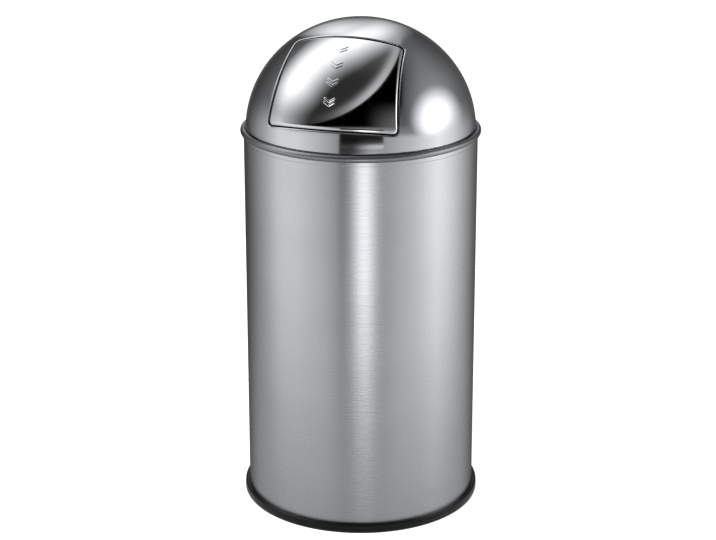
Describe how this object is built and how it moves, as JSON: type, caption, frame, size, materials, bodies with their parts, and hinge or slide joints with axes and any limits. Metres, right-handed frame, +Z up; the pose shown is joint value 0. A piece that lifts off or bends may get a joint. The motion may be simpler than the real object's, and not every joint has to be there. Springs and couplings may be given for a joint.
{
  "type": "dome top waste receptacle",
  "caption": "Round push-flap waste bin: a satin steel drum on a black base ring, a lift-off dome lid with a sprung polished flap, and an inner bucket with a bail.",
  "frame": {"origin": "on the floor under the middle of the drum", "axes": "+Z up the drum's axis, -Y out of the push flap (the front), +X to the right of someone who faces the flap"},
  "size_m": [0.364, 0.364, 0.745],
  "materials": {
    "satin_stainless": "satin stainless steel sheet, finely brushed round the drum",
    "mirror_stainless": "mirror-polished stainless steel sheet",
    "galvanised_steel": "hot-dip galvanised sheet, dull with a spangle",
    "zinc_plated_steel": "bright zinc plating",
    "spring_steel": "drawn spring wire, lightly oiled",
    "black_rubber": "semi-gloss black",
    "black_plastic": "matt black, moulded"
  },
  "bodies": {
    "drum": {"base_ring": "black_rubber", "base_plate": "galvanised_steel", "base_rivet_1": "zinc_plated_steel", "base_rivet_2": "zinc_plated_steel", "base_rivet_3": "zinc_plated_steel", "base_rivet_4": "zinc_plated_steel", "drum_shell": "satin_stainless"},
    "lid": {"lid_dome": "satin_stainless", "lid_collar": "black_plastic", "hinge_pin": "zinc_plated_steel", "hinge_bracket_left": "zinc_plated_steel", "hinge_bracket_right": "zinc_plated_steel", "hinge_clip_left": "spring_steel", "hinge_clip_right": "spring_steel", "torsion_spring_left": "spring_steel", "torsion_spring_right": "spring_steel"},
    "flap": {"push_flap": "mirror_stainless", "flap_ear_left": "zinc_plated_steel", "flap_ear_right": "zinc_plated_steel", "flap_bumper_left": "black_rubber", "flap_bumper_right": "black_rubber"},
    "bucket": {"bucket_wall": "galvanised_steel", "bucket_base": "galvanised_steel", "bucket_ear_left": "galvanised_steel", "bucket_ear_right": "galvanised_steel", "ear_rivet_left_front": "zinc_plated_steel", "ear_rivet_left_back": "zinc_plated_steel", "ear_rivet_right_front": "zinc_plated_steel", "ear_rivet_right_back": "zinc_plated_steel"},
    "bail": {"bail_wire": "zinc_plated_steel", "bail_grip": "black_plastic"}
  },
  "joints": [
    {"name": "lid_lift", "type": "slide", "parent": "drum", "child": "lid", "axis": [0, 0, 1], "range_m": [0, 0.8]},
    {"name": "flap_hinge", "type": "hinge", "parent": "lid", "child": "flap", "pos_m": [0, -0.04746, 0.69976], "axis": [1, 0, 0], "range_deg": [0, 65], "stiffness_Nm_per_rad": 0.12, "springref_deg": -143.24, "deforming": ["torsion_spring_left", "torsion_spring_right"]},
    {"name": "bucket_lift", "type": "slide", "parent": "drum", "child": "bucket", "axis": [0, 0, 1], "range_m": [0, 0.56]},
    {"name": "bail_hinge", "type": "hinge", "parent": "bucket", "child": "bail", "pos_m": [0, 0, 0.512], "axis": [1, 0, 0], "range_deg": [0, 216.04]}
  ],
  "couplings": [
    {"joint": "bucket_lift", "follows": "lid_lift", "ratio": 0.7}
  ]
}
